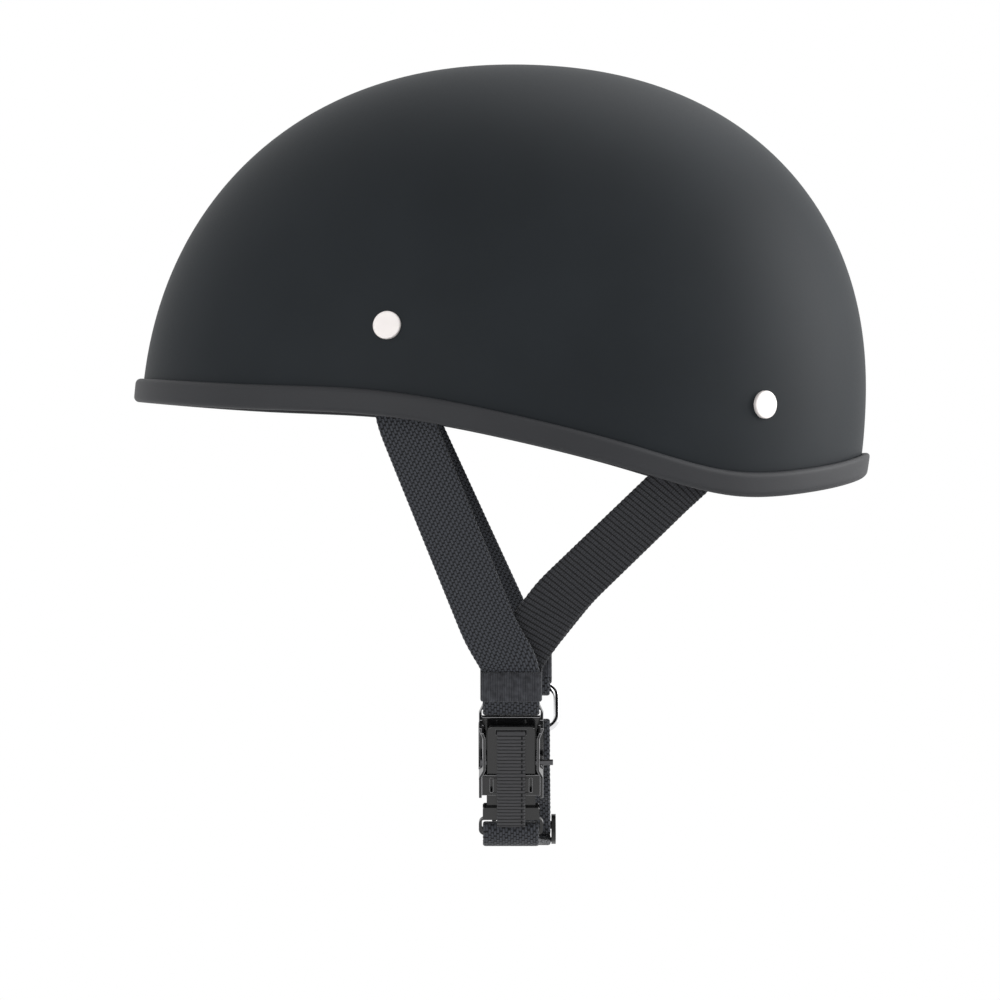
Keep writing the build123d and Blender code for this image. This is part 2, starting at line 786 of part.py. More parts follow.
with BuildPart() as chin_strap:
    with BuildSketch(left_side):
        with BuildLine():
            FilletPolyline(*left_path, radius=left_radii)
        trace(line_width=webbing_thickness)
    extrude(amount=webbing_width / 2, both=True)
    with BuildSketch(right_side):
        with BuildLine():
            FilletPolyline(*right_path, radius=right_radii)
        trace(line_width=webbing_thickness)
    extrude(amount=webbing_width / 2, both=True)
    for x, y, z in ((chin_left_x, left_bar_y, chin_left_z), (chin_right_x, right_bar_y, chin_right_z)):
        with BuildSketch(Plane(origin=(x, y, z), x_dir=(0, 1, 0), z_dir=(-1, 0, 0))):
            Rectangle(webbing_width, webbing_thickness)
    loft(ruled=True)

# Names and files
pieces = {
    "outer_shell": outer_shell, "edge_trim": edge_trim, "impact_liner": impact_liner,
    "crown_pad": crown_pad, "sweatband": sweatband, "liner_hook_discs": liner_hook_discs,
    "rivet_washers": rivet_washers, "buckle_frame": buckle_frame, "lever_pin": lever_pin,
    "release_lever": release_lever, "lever_spring": lever_spring, "pull_ribbon": pull_ribbon,
    "tongue": tongue, "strap_ring": strap_ring, "strap_slider": strap_slider,
    "chin_strap": chin_strap,
}
for name, end in corners:
    pieces[f"{name}_{end}_rivet"] = rivets[name, end]
    pieces[f"{name}_{end}_strap"] = straps[name, end]
for name, keeper in keepers.items():
    pieces[f"{name}_keeper"] = keeper
for name, piece in pieces.items():
    piece.part.label = name
    export_step(piece.part, f"parts/{name}.step")
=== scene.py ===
from math import cos, pi, radians, sin

import bpy
import numpy as np
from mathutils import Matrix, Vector


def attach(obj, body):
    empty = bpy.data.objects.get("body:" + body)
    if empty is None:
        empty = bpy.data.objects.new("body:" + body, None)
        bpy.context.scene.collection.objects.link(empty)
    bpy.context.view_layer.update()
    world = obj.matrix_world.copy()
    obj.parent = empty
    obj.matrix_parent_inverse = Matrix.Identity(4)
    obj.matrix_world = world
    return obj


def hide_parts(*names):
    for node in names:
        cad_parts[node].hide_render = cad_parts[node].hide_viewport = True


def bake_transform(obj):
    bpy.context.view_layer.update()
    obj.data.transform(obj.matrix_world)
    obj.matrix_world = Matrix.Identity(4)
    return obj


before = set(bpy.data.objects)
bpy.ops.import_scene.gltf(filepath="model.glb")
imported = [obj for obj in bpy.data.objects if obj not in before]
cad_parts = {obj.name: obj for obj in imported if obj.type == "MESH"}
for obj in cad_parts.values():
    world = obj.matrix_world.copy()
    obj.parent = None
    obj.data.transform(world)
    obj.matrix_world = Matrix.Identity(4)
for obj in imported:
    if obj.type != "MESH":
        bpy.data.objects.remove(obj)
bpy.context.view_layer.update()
mm = 0.001

# Camera: level, square on to the wearer's left side
camera_data = bpy.data.cameras.new("camera")
camera_data.sensor_width = 36.0
camera_data.lens = 148.0
camera_data.shift_y = -0.057
camera = bpy.data.objects.new("camera", camera_data)
camera.location = (1500 * mm, -1.5 * mm, -15 * mm)
camera.rotation_euler = (pi / 2, 0, pi / 2)
bpy.context.scene.collection.objects.link(camera)
bpy.context.scene.camera = camera
bpy.context.scene.view_settings.view_transform = "Standard"

# Dome and rim line
axis_y = -3.6 * mm
axis_z = -5.4 * mm
front_reach = 128.6 * mm
rear_reach = 135.0 * mm
dome_height = 127.9 * mm
dome_half_width = 107.0 * mm
round_share = 0.906
backward_share = 0.053
rim_middle = 1.2 * mm
rim_drop = 33.8 * mm
rim_shares = np.array([
    (-1.2, 0.06), (-1.0, -0.01), (-0.66, -0.1), (-0.34, -0.166), (0.0, -0.402),
    (0.35, -0.75), (0.6, -0.988), (0.78, -0.967), (1.0, -0.79), (1.2, -0.45),
])
half_length = (front_reach + rear_reach) / 2

# Layers
shell_wall = 3.5 * mm
shell_lift = 1.8 * mm
trim_height = 8.6 * mm
trim_proud = 2.9 * mm
trim_lip = 1.7 * mm
trim_round = 1.9 * mm
foam_wall = 19.6 * mm
fit = 0.2 * mm
pad_wall = 7.0 * mm
pad_floor = 62.0 * mm
pad_edge = 5.0 * mm
pad_row = 1.2 * mm
trim_soft = 0.8 * mm
band_wall = 5.0 * mm
band_lift = 4.0 * mm
band_height = 30.0 * mm
band_fullness = 3.5
band_swell = 0.45
band_back_share = 0.3
disc_thickness = 1.4 * mm
disc_rings = [r * mm for r in (1, 4, 7, 10, 12)]

# Fineness of the surfaces
columns = 320
shell_rows = 96
lining_rows = 30
pad_rows = 90
band_steps = 15
corner_steps = 9
face_steps = 6
disc_columns = 48
weave_step = 0.38 * mm
keeper_step = 0.16 * mm
run_rows = 12
turn_rows = 15

# Straps and their lower bars; a course is the strap's y at the rim, its knee's share of the hang
# down to the keeper, and how far the knee lies back and inwards of a straight hang
rivet_places = {"front": (-39.9 * mm, 25.05 * mm), "rear": (90.0 * mm, -1.7 * mm)}
webbing_width = 20.0 * mm
webbing_thickness = 1.7 * mm
strap_end = 10.0 * mm
strap_inset = 5.15 * mm
strap_rim_inset = 8.3 * mm
laid_shares = [0.0, 0.35, 0.7, 0.9]
laid_inset_shares = [0.0, 0.1, 0.62, 0.95]
hang_shares = [0.12, 0.36]
courses = {
    ("left", "front"): (-34.1 * mm, 0.86, -2.0 * mm, 0.0),
    ("left", "rear"): (59.6 * mm, 0.64, -4.6 * mm, 2.2 * mm),
    ("right", "front"): (-34.8 * mm, 0.86, -1.4 * mm, 0.0),
    ("right", "rear"): (65.5 * mm, 0.64, -2.5 * mm, 2.2 * mm),
}
loop_top = 15.2 * mm
lean = radians(24.0)
side_of = {"left": 1, "right": -1}
bars = {
    "left": np.array((61.6, 2.4, -105.96)) * mm,
    "right": np.array((-60.0, 7.4, -107.0)) * mm,
}
gaps = {"left": 0.95 * mm, "right": 1.45 * mm}
turns = {"left": -1.9 * mm, "right": -0.75 * mm}
rear_stops = {"left": 0.6 * mm, "right": 1.85 * mm}
last_station = 3.0 * mm
keeper_run = 3.4 * mm
ease_reach = 9
weave_pitch = 1.9 * mm
edge_swell = 0.008

# Keepers: rows of inset and height in millimetres, up the outside and over the upper edge
keeper_wall = 0.7 * mm
keeper_round = 1.3 * mm
keeper_girth = 50 * mm
rib_height = 0.09 * mm
rib_count = 56
keeper_rows = [
    (0.5, 2.2), (0.1, 2.1), (0.0, 2.4), *((0.0, h) for h in np.linspace(2.9, 12.9, 12)),
    (0.0, 13.3), (0.1, 13.6), (0.5, 13.5),
]

# Release lever's top edge and the ribbon over it, down the plane of the left-hand bar
lever_under = 4.9 * mm
lever_thickness = 1.4 * mm
ribbon_width = 10.0 * mm
ribbon_thickness = 1.1 * mm
ribbon_tail = 12.2 * mm
ribbon_top = 8.0 * mm
ribbon_knee = 27.5 * mm
ribbon_sag_down = 39.5 * mm
ribbon_sag_out = 5.8 * mm
ribbon_end = 46.2 * mm
ribbon_end_out = 5.5 * mm
ribbon_bend = (17.5 * mm, 28.0 * mm)

# Tongue, ring and slider, where the chin strap runs through them
tray_plate = 1.5 * mm
tongue_thickness = 1.6 * mm
eye_low = 48.9 * mm
ring_drop = 17.5 * mm
ring_wire = 2.5 * mm
ring_slack = 0.75 * mm
slider_down = 57.2 * mm
slider_bar = 1.8 * mm

# Chin strap; its give is a stretch along the far piece
chin_left, chin_right = np.array([(26.0, 2.4, -157.4), (-27.0, 7.4, -163.6)]) * mm
chin_bend = 6.0 * mm
chin_sag = 60.0 * mm
left_tail = 52.6 * mm
pinch_down = 28.8 * mm
ease_down = 22.4 * mm
right_tail_down = 49.5 * mm
right_tail_pinch = 45.0 * mm
right_tail_end = 38.5 * mm
tail_bend = 3.0 * mm
turn_share = 0.97
far_give = (22.0 * mm, 50.0 * mm)


# Curves and surfaces
def cubic(knots, values, at):
    """Natural cubic spline through knots, whose bends m solve a band matrix.

    Each span is a*v0 + b*v1 + ((a^3 - a)*m0 + (b^3 - b)*m1) * width^2 / 6: b is the share run, a the rest.
    """
    knots, values, at = np.asarray(knots, float), np.asarray(values, float), np.asarray(at, float)
    flat = values.reshape(len(knots), -1)
    gap = np.diff(knots)
    slope = np.diff(flat, axis=0) / gap[:, None]
    band = np.eye(len(knots))
    right = np.zeros_like(flat)
    inner = np.arange(1, len(knots) - 1)
    band[inner, inner - 1] = gap[:-1]
    band[inner, inner] = 2 * (gap[:-1] + gap[1:])
    band[inner, inner + 1] = gap[1:]
    right[inner] = 6 * np.diff(slope, axis=0)
    bend = np.linalg.solve(band, right)
    span = np.clip(np.searchsorted(knots, at) - 1, 0, len(knots) - 2)
    width = gap[span][..., None]
    b = (at - knots[span])[..., None] / width
    a = 1 - b
    out = a * flat[span] + b * flat[span + 1]
    out = out + ((a**3 - a) * bend[span] + (b**3 - b) * bend[span + 1]) * width**2 / 6
    return out.reshape(at.shape + values.shape[1:])


def rim_height(y):
    """Height of the rim line, a cubic spline through its shares of the half length and the drop."""
    return cubic(rim_shares[:, 0], rim_shares[:, 1], (y - rim_middle) / half_length) * rim_drop


def around_dome(angle, height, depth):
    """Ellipse at a height: (1 - rise^(2/share))^(share/2) of the widest outline, moved back as it rises."""
    rise = np.abs(height - axis_z) / (dome_height - depth)
    level = np.clip(1 - rise ** (2 / round_share), 0, 1) ** (round_share / 2)
    reach = np.where(np.sin(angle) < 0, front_reach, rear_reach) - depth
    x = (dome_half_width - depth) * level * np.cos(angle)
    y = axis_y + reach * level * np.sin(angle) + (height - axis_z) * backward_share
    return np.stack([x, y, height + 0 * x], -1)


def over_rim(angle, depth, lift, rounds=20):
    """The point of a layer at an angle, a lift over the rim line: height and place are found in turns."""
    height = np.zeros_like(angle + 0 * depth + 0 * lift)
    for _ in range(rounds):
        height = rim_height(around_dome(angle, height, depth)[..., 1]) + lift
    return around_dome(angle, height, depth)


def dome_rows(angle, low, depth, rows):
    """Rows from a low height up to near the crown, in equal turns of the rounded profile."""
    rise = (low - axis_z) / (dome_height - depth)
    first = np.arcsin(np.sign(rise) * np.abs(rise) ** (1 / round_share))
    turn = first + (pi / 2 - first) * np.arange(rows)[:, None] / rows
    height = axis_z + (dome_height - depth) * np.sign(turn) * np.abs(np.sin(turn)) ** round_share
    return around_dome(angle[None, :], height, depth)


def on_dome(y, z, depth, side):
    """The point of a layer of the dome that the side view shows at (y, z)."""
    rise = abs(z - axis_z) / (dome_height - depth)
    level = (1 - rise ** (2 / round_share)) ** round_share
    upright_y = y - (z - axis_z) * backward_share
    reach = front_reach if upright_y < axis_y else rear_reach
    along = (upright_y - axis_y) / (reach - depth)
    return np.array((side * (dome_half_width - depth) * (level - along**2) ** 0.5, y, z))


def dome_normal(y, z, side):
    """Outward direction: the gradient of the dome's equation at the point seen at (y, z)."""
    power = 2 / round_share
    rise = abs(z - axis_z) / dome_height
    fall = (1 - rise**power) ** (round_share - 1) * rise ** (power - 1) / dome_height
    upright_y = y - (z - axis_z) * backward_share
    reach = front_reach if upright_y < axis_y else rear_reach
    across = on_dome(y, z, 0, side)[0] / dome_half_width**2
    along = (upright_y - axis_y) / reach**2
    return unit(np.array((across, along, np.copysign(fall, z - axis_z) - along * backward_share)))


def unit(v):
    """Vectors shortened to length one."""
    return v / np.linalg.norm(v, axis=-1, keepdims=True)


def grid(rows, cols, loop_rows=False, loop_cols=False, first=0):
    """Corners of each cell of a grid of points, row after row, and its row and column counts for a UV map."""
    r, c = np.meshgrid(np.arange(rows - (not loop_rows)), np.arange(cols - (not loop_cols)), indexing="ij")
    r, c = r.ravel(), c.ravel()
    rr = np.stack([r, r, r + 1, r + 1], -1)
    cc = np.stack([c, c + 1, c + 1, c], -1)
    return first + (rr % rows) * cols + cc % cols, np.stack([rr, cc], -1)


def add_piece(name, points, faces, uv=None, smooth=None):
    """A mesh object at the origin, smooth shaded, with an optional UV per face corner."""
    mesh = bpy.data.meshes.new(name)
    mesh.from_pydata(points.reshape(-1, 3).tolist(), [], [list(f) for f in faces])
    if uv is not None:
        layer = mesh.uv_layers.new(name="cloth")
        layer.data.foreach_set("uv", np.concatenate(uv).astype(np.float32).ravel())
    mesh.shade_smooth()
    if smooth:
        mesh.set_sharp_from_angle(angle=radians(smooth))
    mesh.validate()
    piece = bpy.data.objects.new(name, mesh)
    bpy.context.scene.collection.objects.link(piece)
    return piece


def carried(name, line, facing, section):
    """A profile carried along a line: point = line + u * side + w * facing, where side = heading x facing."""
    heading = unit(np.gradient(line, axis=0))
    side = unit(np.cross(heading, facing))
    out = np.cross(side, heading)
    section = np.broadcast_to(section, (len(line),) + section.shape[-2:])
    points = line[:, None] + section[..., :1] * side[:, None] + section[..., 1:] * out[:, None]
    rows, cols = points.shape[:2]
    quads, places = grid(rows, cols, loop_cols=True)
    run = np.concatenate([[0], np.cumsum(np.linalg.norm(np.diff(line, axis=0), axis=1))])
    girth = np.linalg.norm(np.diff(section[0], axis=0, append=section[0][:1]), axis=1)
    girth = np.concatenate([[0], np.cumsum(girth)])
    uv = [np.stack([girth[places[..., 1]], run[places[..., 0]]], -1).reshape(-1, 2)]
    first, last = np.arange(cols)[::-1], (rows - 1) * cols + np.arange(cols)
    uv += [np.zeros((cols, 2)), np.zeros((cols, 2))]
    return add_piece(name, points, quads.tolist() + [first.tolist(), last.tolist()], uv)


def slab(width, thickness, across=20, turn_steps=5):
    """Section of a band: two long flat sides joined by half circles."""
    edge = thickness / 2
    u = np.linspace(-1, 1, across) * (width / 2 - edge)
    bend = np.linspace(-pi / 2, pi / 2, turn_steps + 2)[1:-1]
    right = np.stack([width / 2 - edge + edge * np.cos(bend), edge * np.sin(bend)], -1)
    low = np.stack([u, 0 * u - edge], -1)
    return np.concatenate([low, right, -low, -right])


def woven_band(rows):
    """The webbing's section row by row: its edges swell where the cross yarn turns, a cosine of the run."""
    swell = 1 - edge_swell + edge_swell * np.cos(2 * pi * np.arange(rows) * weave_step / weave_pitch)
    flat = slab(webbing_width, webbing_thickness)
    return flat[None] * np.stack([swell, 1 + 0 * swell], -1)[:, None]


def rounded(points, radii, steps=10):
    """Straights with arcs for corners, which touch them at radius / tan(half the angle between them)."""
    points = np.array(points, float)
    made = [points[0]]
    for before, corner, after, radius in zip(points, points[1:], points[2:], radii):
        a, b = unit(before - corner), unit(after - corner)
        half = np.arccos(np.clip(a @ b, -1, 1)) / 2
        middle = corner + unit(a + b) * radius / np.sin(half)
        start, stop = corner + a * radius / np.tan(half), corner + b * radius / np.tan(half)
        share = np.linspace(0, 1, steps)
        angle = pi - 2 * half
        u, v = unit(start - middle), unit(stop - middle)
        arc = (np.sin((1 - share) * angle)[:, None] * u + np.sin(share * angle)[:, None] * v) / np.sin(angle)
        made += list(middle + radius * arc)
    made.append(points[-1])
    return np.array(made)


def evenly(line, step):
    """Points at equal lengths along a run of points; columns past the third go with them."""
    run = np.concatenate([[0], np.cumsum(np.linalg.norm(np.diff(line[:, :3], axis=0), axis=1))])
    at = np.linspace(0, run[-1], max(int(run[-1] / step), 4) + 1)
    return np.stack([np.interp(at, run, line[:, k]) for k in range(line.shape[1])], -1)


def eased(path, reach):
    """A moving average, twice, over a reach of rows each way; turned copies keep the ends in place."""
    for _ in range(2):
        wide = np.pad(path, ((reach, reach), (0, 0)), "reflect", reflect_type="odd")
        total = np.cumsum(np.concatenate([0 * wide[:1], wide]), axis=0)
        path = (total[2 * reach + 1:] - total[:-2 * reach - 1]) / (2 * reach + 1)
    return path


def strap_axes(name):
    """The lower bar of a pair of straps: its middle, and the ways out, along it and up the strap."""
    side = side_of[name]
    out = np.array((side * cos(lean), 0, -sin(lean)))
    up = np.array((side * sin(lean), 0, cos(lean)))
    return bars[name], out, np.array((0, side, 0.0)), up


def in_side_view(name, route):
    """Points (out, up) of a lower bar's plane as points of the helmet."""
    middle, out, _, up = strap_axes(name)
    route = np.asarray(route)
    return middle + route[:, :1] * out + route[:, 1:2] * up


def squared(name, line, bar, section):
    """A band that lies square to its own run and to a bar: facing = heading x bar."""
    return carried(name, line, unit(np.cross(np.gradient(line, axis=0), bar)), section)


# Materials: wrappers for a socket, a node tree and a finish
white = (1, 1, 1, 1)


class Value:
    """A socket whose operators add Math nodes."""

    def __init__(self, tree, socket):
        self.tree, self.socket = tree, socket

    def math(self, operation, first, second=None):
        node = self.tree.nodes.new("ShaderNodeMath")
        node.operation = operation
        for place, value in enumerate((first, second)):
            if isinstance(value, Value):
                self.tree.links.new(value.socket, node.inputs[place])
            elif value is not None:
                node.inputs[place].default_value = value
        return Value(self.tree, node.outputs[0])

    def __add__(self, other):
        return self.math("ADD", self, other)

    def __radd__(self, other):
        return self.math("ADD", other, self)

    def __sub__(self, other):
        return self.math("SUBTRACT", self, other)

    def __rsub__(self, other):
        return self.math("SUBTRACT", other, self)

    def __mul__(self, other):
        return self.math("MULTIPLY", self, other)

    def __rmul__(self, other):
        return self.math("MULTIPLY", other, self)

    def __truediv__(self, other):
        return self.math("DIVIDE", self, other)

    def __rtruediv__(self, other):
        return self.math("DIVIDE", other, self)

    def sine(self):
        return self.math("SINE", self)

    def size(self):
        return self.math("ABSOLUTE", self)

    def whole(self):
        return self.math("FLOOR", self)

    def over(self, limit):
        return self.math("GREATER_THAN", self, limit)


class Nodes:
    """A node tree whose nodes come from one method."""

    def __init__(self, tree):
        self.tree = tree

    def node(self, kind, inputs=(), output=0, **settings):
        """Adds a node: settings first, then values or links for its inputs, by name or place."""
        node = self.tree.nodes.new("ShaderNode" + kind)
        for label, value in settings.items():
            setattr(node, label, value)
        for label, value in dict(inputs).items():
            if isinstance(value, Value):
                self.tree.links.new(value.socket, node.inputs[label])
            else:
                node.inputs[label].default_value = value
        return Value(self.tree, node.outputs[output])

    def white_where_seen(self, shown, kind, output):
        """Plain white where the camera, gloss or glass sees a surface; its own shader for all other light."""
        rays = [self.node("LightPath", output=f"Is {ray} Ray") for ray in ("Camera", "Glossy", "Transmission")]
        glow = self.node(kind, {"Color": white, "Strength": 1.0})
        mix = self.node("MixShader", {0: rays[0] + rays[1] + rays[2], 1: Value(self.tree, shown), 2: glow})
        self.tree.links.new(mix.socket, self.tree.nodes[output].inputs["Surface"])


class Finish(Nodes):
    """A material, with its shader's constants set on the shader itself."""

    def __init__(self, name, **constants):
        self.material = bpy.data.materials.new(name)
        self.material.use_nodes = True
        super().__init__(self.material.node_tree)
        self.shader = self.tree.nodes["Principled BSDF"]
        for label, value in constants.items():
            self.shader.inputs[label.replace("_", " ").title().replace("Ior", "IOR")].default_value = value

    def place(self):
        return self.node("TexCoord", output="Object")

    def cloth(self):
        """The two lengths of the piece's own UV map, across and along, in metres."""
        where = self.node("UVMap", uv_map="cloth")
        return [self.node("SeparateXYZ", {"Vector": where}, axis) for axis in "XY"]

    def noise(self, scale, detail=3.0):
        inputs = {"Vector": self.place(), "Scale": scale, "Detail": detail, "Roughness": 0.55}
        return self.node("TexNoise", inputs)

    def cells(self, scale):
        return self.node("TexVoronoi", {"Vector": self.place(), "Scale": scale})

    def ramp(self, value, low, high):
        """A value carried from one range to nought to one, and kept there."""
        inputs = {"Value": value, "From Min": low, "From Max": high}
        return self.node("MapRange", inputs)

    def colour(self, share, first, second):
        """The base colour: two colours mixed by a share."""
        mix = self.node("Mix", {0: share, 6: (*first, 1), 7: (*second, 1)}, 2, data_type="RGBA")
        self.set("Base Color", mix)

    def gloss(self, roughness, *waves):
        """Roughness about a middle value, moved by each noise's share."""
        for noise, share in waves:
            roughness = roughness + (noise - 0.5) * share
        self.set("Roughness", roughness)

    def set(self, label, value):
        self.tree.links.new(value.socket, self.shader.inputs[label])

    def relief(self, height, distance, strength):
        """Relief from a height of nought to one, as deep as the distance."""
        inputs = {"Height": height, "Distance": distance, "Strength": strength}
        self.set("Normal", self.node("Bump", inputs))


# Where a mottle, a yarn's side and end and its painted light and shade begin and end, in shares of their noise
# or wave
mottle = (0.3, 0.7)
yarn_side = (0.28, 0.5)
yarn_end = (0.35, 0.95)
yarn_fall = 0.9
yarn_light = (0.1, 0.9)
stitch_half = 0.3 * mm
stitch_pitch = 2.3 * mm
stitch_from = -0.3


def shade(colour, share):
    """A colour made lighter or darker by a share."""
    return [share * c for c in colour]


def smooth_plastic(name, colour, roughness, grain, ior=1.5):
    """Moulded plastic: a broad, very shallow ripple and a fine grain in the gloss."""
    finish = Finish(name, ior=ior)
    broad, fine = finish.noise(18, detail=2), finish.noise(1400, detail=2)
    finish.colour(finish.ramp(broad, *mottle), colour, shade(colour, 1.25))
    finish.gloss(roughness, (fine, 0.08), (broad, 0.05))
    finish.relief(fine, grain * mm, strength=0.5)
    return finish.material


def woven(name, colour, column, run, step, gap, depth, sheen=0.2, stitches=None):
    """Webbing: columns of short raised yarns, each a step behind its neighbour; its colour paints shade in the
    low gaps between them and light on their crowns.
    """
    finish = Finish(name, sheen_weight=sheen, sheen_roughness=0.4, specular_ior_level=0.2)
    across, along = finish.cloth()
    wander = finish.noise(500, detail=2)
    place = across / (column * mm) + (wander - 0.5) * 0.2
    rank = place.whole()
    beat = (along * (2 * pi / (run * mm)) + rank * step + wander * 1.1).sine()
    side = finish.ramp((place - rank - 0.5).size(), *yarn_side) * gap
    height = (1 - side) * (1 - finish.ramp(beat, *yarn_end) * yarn_fall)
    if stitches:
        row = 1 - (across - stitches * mm).size().over(stitch_half)
        height = height * (1 - row * (along * (2 * pi / stitch_pitch)).sine().over(stitch_from))
    # Painted shade and light: the colour follows the yarns' height, dark in the gaps and stitch holes and
    # lighter on the crowns
    finish.colour(finish.ramp(height, *yarn_light), shade(colour, 0.16), shade(colour, 1.3))
    finish.gloss(0.72, (wander, 0.2))
    finish.relief(height, depth * mm, strength=0.8)
    return finish.material


def metal(name, colour, roughness, grain=0.02, metallic=1.0, coat=0.0):
    """Metal: fine scuffs change its gloss a little."""
    finish = Finish(name, metallic=metallic, coat_weight=coat, coat_roughness=0.08)
    scuff, broad = finish.noise(900, detail=4), finish.noise(60, detail=2)
    finish.colour(finish.ramp(broad, *mottle), colour, shade(colour, 0.93))
    finish.gloss(roughness, (scuff, 0.12), (broad, 0.06))
    finish.relief(scuff, grain * mm, strength=0.3)
    return finish.material


def beads(name, colour):
    """Moulded bead foam: rounded cells a few millimetres wide, with darker joints between them."""
    finish = Finish(name)
    cell = finish.cells(330)
    finish.colour(finish.ramp(cell, 0.2, 0.7), shade(colour, 1.5), shade(colour, 0.4))
    finish.set("Roughness", 0.6 + finish.noise(900) * 0.15)
    finish.relief(1 - cell, 0.35 * mm, strength=0.6)
    return finish.material


def knitted(name, colour):
    """Knitted cover: small loops in rows, with a soft uneven ground."""
    finish = Finish(name, sheen_weight=0.35, sheen_roughness=0.5)
    cell, broad = finish.cells(900), finish.noise(120)
    finish.colour(finish.ramp(broad, *mottle), colour, shade(colour, 1.5))
    finish.gloss(0.8, (broad, 0.15))
    finish.relief(cell, 0.25 * mm, strength=0.6)
    return finish.material


shell_black = smooth_plastic("shell_black", (0.0165, 0.0195, 0.0225), roughness=0.56, grain=0.01, ior=1.2)
trim_black = smooth_plastic("trim_black", (0.027, 0.028, 0.031), roughness=0.6, grain=0.015, ior=1.35)
slider_black = smooth_plastic("slider_black", (0.008, 0.008, 0.008), roughness=0.35, grain=0.02)
webbing_of = {
    "front": woven(
        "webbing_black", (0.045, 0.048, 0.056), column=1.0, run=2.15, step=2.6, gap=0.8, depth=0.35,
    ),
    "rear": woven(
        "rear_webbing_black", (0.028, 0.029, 0.033), column=0.95, run=1.75, step=0.12, gap=0.55, depth=0.45,
    ),
}
keeper_grey = woven(
    "keeper_grey", (0.052, 0.054, 0.062), column=0.75, run=400.0, step=0.0, gap=0.5, depth=0.12,
)
ribbon_black = woven(
    "ribbon_black", (0.050, 0.050, 0.053), column=30.0, run=1.35, step=0.0, gap=0.0, depth=0.15,
    sheen=0.1, stitches=18.8,
)
gloss_black = metal("gloss_black", (0.008, 0.008, 0.0085), roughness=0.16, metallic=0.0, coat=0.2)
# Lighter metals for the bevelled edges: worn bare metal on the frame, and on both a painted glint
worn_and_glint_edge = metal("worn_and_glint_edge", (0.36, 0.36, 0.37), roughness=0.2)
soft_glint_edge = metal("soft_glint_edge", (0.13, 0.13, 0.135), roughness=0.3)
rivet_white = metal("rivet_white", (0.96, 0.91, 0.89), roughness=0.4, metallic=0.2)
zinc = metal("zinc", (0.62, 0.62, 0.63), roughness=0.3)
gunmetal = metal("gunmetal", (0.10, 0.10, 0.105), roughness=0.32)
spring_wire = metal("spring_wire", (0.55, 0.55, 0.56), roughness=0.25)
polished = metal("polished", (0.86, 0.86, 0.87), roughness=0.08, grain=0.005)
foam_black = beads("foam_black", (0.018, 0.018, 0.0185))
pad_black = knitted("pad_black", (0.014, 0.014, 0.0145))
tape_black = knitted("tape_black", (0.02, 0.02, 0.02))


def finished(piece, material, slot, *nodes, body="helmet"):
    """Gives a piece its material, its body and the CAD nodes it stands for."""
    piece.data.materials.append(material)
    if body:
        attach(piece, body)
    if nodes:
        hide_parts(*nodes)


# Shell: the dome's outer and inner surfaces, joined along the rim
angle = np.linspace(0, 2 * pi, columns, endpoint=False)


def domed(name, outer_depth, inner_depth, outer_low, inner_low, outer_rows, inner_rows):
    """A closed layer of the dome: rows from the low edge to the crown outside, and back down inside."""
    rows = dome_rows(angle, outer_low, outer_depth, outer_rows)
    back = dome_rows(angle, inner_low, inner_depth, inner_rows)[::-1]
    count = len(rows) * columns
    outer, _ = grid(len(rows), columns, loop_cols=True)
    inner, _ = grid(len(back), columns, loop_cols=True, first=count)
    total = count + len(back) * columns
    crown, core = [
        (0, axis_y + (dome_height - depth) * backward_share, axis_z + dome_height - depth)
        for depth in (np.ravel(outer_depth)[-1], np.ravel(inner_depth)[-1])
    ]
    points = np.concatenate([rows.reshape(-1, 3), back.reshape(-1, 3), [crown, core]])
    ring = np.arange(columns)
    after = (ring + 1) % columns
    last, start, low = count - columns, count, total - columns
    faces = outer.tolist() + inner.tolist()
    faces += np.stack([last + ring, last + after, 0 * ring + total], -1).tolist()
    faces += np.stack([start + after, start + ring, 0 * ring + total + 1], -1).tolist()
    faces += np.stack([after, ring, low + ring, low + after], -1).tolist()
    return add_piece(name, points, faces, smooth=40)


shell_low = over_rim(angle, 0, shell_lift)[:, 2]
inner_low = over_rim(angle, shell_wall, shell_lift)[:, 2]
shell = domed("helmet_shell", 0, shell_wall, shell_low, inner_low, shell_rows, lining_rows)
finished(shell, shell_black, "shell", "outer_shell")

# Crown pad: a soft dome whose two faces round over to each other at its edge, in quarter circles
foam_core = shell_wall + fit / 2 + foam_wall
from_edge = np.arange(pad_rows)[:, None] * pad_row
full = np.sqrt(1 - np.clip(1 - from_edge / pad_edge, 0, 1) ** 2)
pad_middle = foam_core + disc_thickness + fit + pad_wall / 2
pad = domed(
    "comfort_pad", pad_middle - pad_wall / 2 * full, pad_middle + pad_wall / 2 * full,
    pad_floor + 0 * angle, pad_floor + 0 * angle, pad_rows, pad_rows,
)
finished(pad, pad_black, "padding", "crown_pad")


# Edge trim: a rounded channel over the shell's edge
def trim_section():
    """Section as (depth, lift): the outer corners are arcs, the inside follows the shell's edge."""
    bend = np.linspace(0, pi / 2, corner_steps)
    r, soft = trim_round, trim_soft
    top = [(-trim_proud + r - r * cos(t), trim_height - r + r * sin(t)) for t in bend]
    low = [(-trim_proud + r - r * sin(t), r - r * cos(t)) for t in bend]
    face = [(-trim_proud, h) for h in np.linspace(r, trim_height - r, face_steps)[1:-1]]
    lip = shell_wall + trim_lip
    under = [(lip - soft + soft * sin(t), soft - soft * cos(t)) for t in bend[::2]]
    back = [(lip - soft + soft * cos(t), trim_height - soft + soft * sin(t)) for t in bend[::2]]
    wall, seat = shell_wall + fit / 2, shell_lift - fit / 2
    groove = [(-fit / 2, trim_height), (-fit / 2, seat), (wall, seat), (wall, trim_height)]
    return np.array(low + face + top + groove + back[::-1] + under[::-1])


section = trim_section()
trim_grid = over_rim(angle[:, None], section[None, :, 0], section[None, :, 1])
quads, _ = grid(columns, len(section), loop_rows=True, loop_cols=True)
trim = add_piece("rim_trim", trim_grid, quads.tolist(), smooth=50)
finished(trim, trim_black, "trim", "edge_trim")

